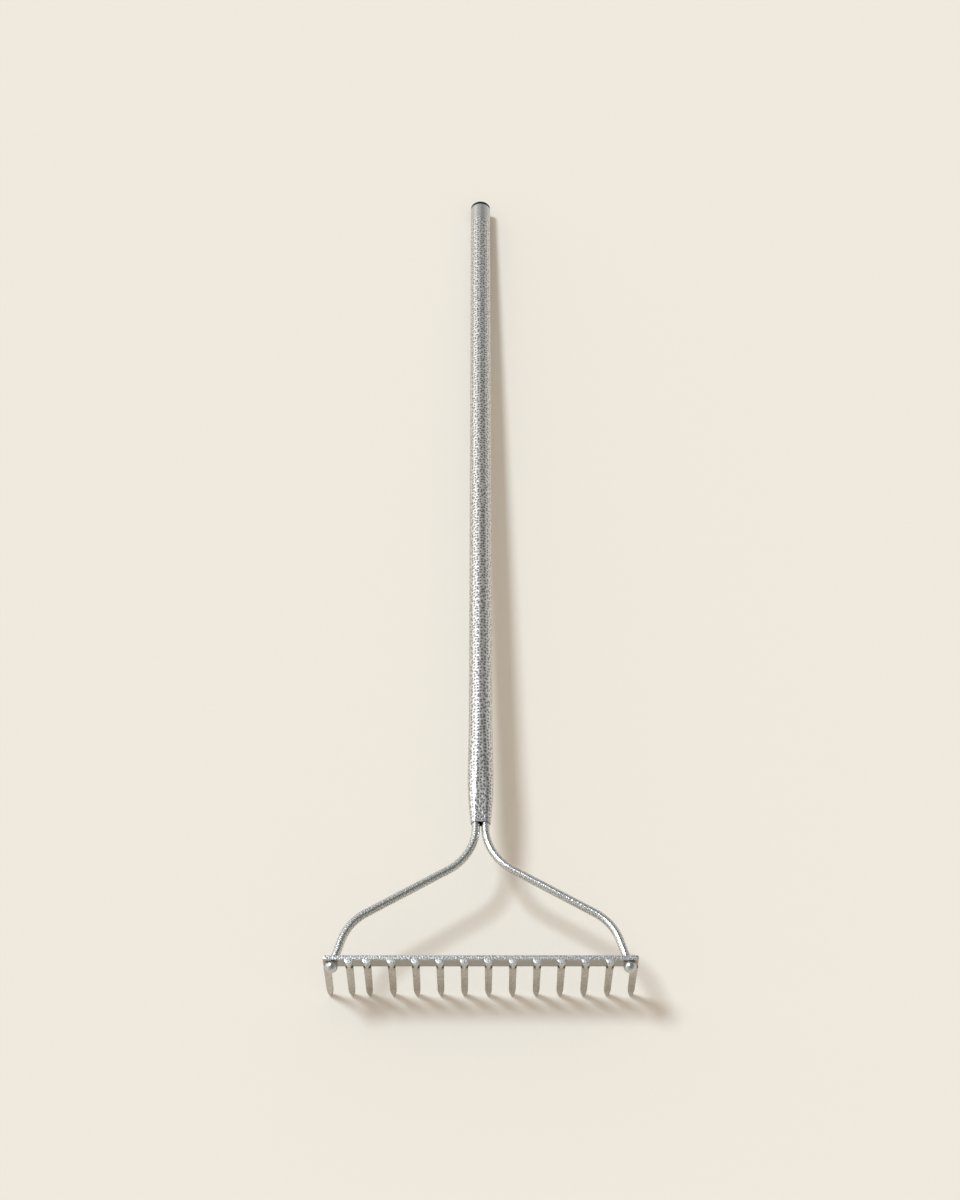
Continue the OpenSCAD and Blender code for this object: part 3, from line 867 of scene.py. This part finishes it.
class RAKE_OT_stage(bpy.types.Operator):
    """Set up the floor, the light and the camera"""
    bl_idname = "rake.stage"
    bl_label = "Stage"

    def execute(self, context):
        scene = context.scene
        stage = scene.rake_stage
        scene.view_settings.view_transform = "Standard"
        self.lay_floor(stage)
        self.light_room(scene, stage)
        self.hang_key(scene, stage)
        self.place_camera(scene, stage)
        return {"FINISHED"}

    def lay_floor(self, stage):
        """A plain pale floor"""
        half = stage.floor_size / 2
        mesh = bpy.data.meshes.new("floor")
        mesh.from_pydata([(-half, -half, 0), (half, -half, 0), (half, half, 0), (-half, half, 0)],
                         [], [(0, 1, 2, 3)])
        # A matt paper: pale, even and without a sheen
        paper = new_material("matt_cream_paper", Base_Color=stage.floor, Roughness=0.9,
                             Specular_IOR_Level=0.1)
        mesh.materials.append(paper[0])
        piece("floor", mesh)

    def light_room(self, scene, stage):
        """An even warm fill for the matt floor. The steel mirrors the room: pale
        walls, darker overhead, and a soft window and its glow at the left."""
        world = bpy.data.worlds.new("room")
        scene.world = world
        world.use_nodes = True
        tree = world.node_tree
        tree.nodes.clear()
        way = add_node(tree, "ShaderNodeTexCoord").outputs["Generated"]
        up = add_node(tree, "ShaderNodeSeparateXYZ", {0: way}).outputs["Z"]
        room = add_node(tree, "ShaderNodeMapRange", {
            "Value": up, "From Min": WALLS_TOP, "From Max": OVERHEAD,
            "To Min": stage.walls, "To Max": stage.overhead},
            interpolation_type="SMOOTHSTEP").outputs[0]
        toward = add_node(tree, "ShaderNodeVectorMath", {
            0: way, 1: WINDOW_WAY}, operation="DOT_PRODUCT").outputs["Value"]
        for strength, begins, full in ((stage.glow, GLOW_BEGINS, GLOW_FULL),
                                       (stage.window, WINDOW_BEGINS, WINDOW_FULL)):
            light = add_node(tree, "ShaderNodeMapRange", {
                "Value": toward, "From Min": math.cos(math.radians(begins)),
                "From Max": math.cos(math.radians(full)), "To Min": 0.0, "To Max": strength},
                interpolation_type="SMOOTHSTEP")
            both = add_node(tree, "ShaderNodeMath", {
                0: room, 1: light.outputs[0]}, operation="ADD")
            room = both.outputs[0]
        mirrored = add_node(tree, "ShaderNodeBackground", {"Color": (1, 1, 1, 1), "Strength": room})
        fill = add_node(tree, "ShaderNodeBackground", {
            "Color": stage.fill, "Strength": stage.fill_strength})
        plain = add_node(tree, "ShaderNodeBackground", {"Color": stage.floor, "Strength": 1.0})
        ray = add_node(tree, "ShaderNodeLightPath").outputs
        lit = add_node(tree, "ShaderNodeMixShader", {
            0: ray["Is Diffuse Ray"], 1: mirrored.outputs[0], 2: fill.outputs[0]})
        shown = add_node(tree, "ShaderNodeMixShader", {
            0: ray["Is Camera Ray"], 1: lit.outputs[0], 2: plain.outputs[0]})
        add_node(tree, "ShaderNodeOutputWorld", {"Surface": shown.outputs[0]})

    def hang_key(self, scene, stage):
        """The key light, high at the left and a little behind the bar"""
        lamp = bpy.data.lights.new("key", "SUN")
        lamp.energy = stage.key_strength
        lamp.color = stage.key[:3]
        lamp.angle = stage.key_angle
        key = bpy.data.objects.new("key", lamp)
        key.rotation_euler = KEY_WAY.to_track_quat("Z", "Y").to_euler()
        scene.collection.objects.link(key)

    def place_camera(self, scene, stage):
        """A camera above and in front of the tines"""
        seen = bpy.data.cameras.new("camera")
        seen.lens = stage.lens
        seen.sensor_width = 36
        seen.clip_end = 50
        camera = bpy.data.objects.new("camera", seen)
        aim = Vector((stage.camera_side, stage.camera_aim, 0))
        back = Vector((0, -math.cos(stage.camera_angle), math.sin(stage.camera_angle)))
        camera.location = TO_ROOM @ (aim + stage.camera_distance * back)
        camera.rotation_euler = (TO_ROOM.to_3x3() @ back).to_track_quat("Z", "Y").to_euler()
        scene.collection.objects.link(camera)
        scene.camera = camera


class RAKE_PT_panel(bpy.types.Panel):
    """The rake's sizes, and a button for each group of pieces"""
    bl_idname = "RAKE_PT_panel"
    bl_label = "Bow rake"
    bl_space_type = "VIEW_3D"
    bl_region_type = "UI"
    bl_category = "Rake"

    def draw(self, context):
        for group, kind in SETTINGS.items():
            box = self.layout.box()
            box.label(text=kind.__doc__)
            for name in kind.__annotations__:
                box.prop(getattr(context.scene, group), name)
        for operator in OPERATORS:
            self.layout.operator(operator.bl_idname)


OPERATORS = (RAKE_OT_stage, RAKE_OT_handle, RAKE_OT_plug, RAKE_OT_bow, RAKE_OT_bar, RAKE_OT_tines)
CLASSES = (*SETTINGS.values(), *OPERATORS, RAKE_PT_panel)


def register():
    """Makes the classes and their settings known to Blender"""
    for kind in CLASSES:
        bpy.utils.register_class(kind)
    for group, kind in SETTINGS.items():
        setattr(bpy.types.Scene, group, PointerProperty(type=kind))


def unregister():
    """Takes them away again"""
    for group in SETTINGS:
        delattr(bpy.types.Scene, group)
    for kind in reversed(CLASSES):
        bpy.utils.unregister_class(kind)


def main():
    """Builds the whole rake and its stage"""
    register()
    for operator in OPERATORS:
        area, name = operator.bl_idname.split(".")
        getattr(getattr(bpy.ops, area), name)()


if __name__ == "__main__":
    main()
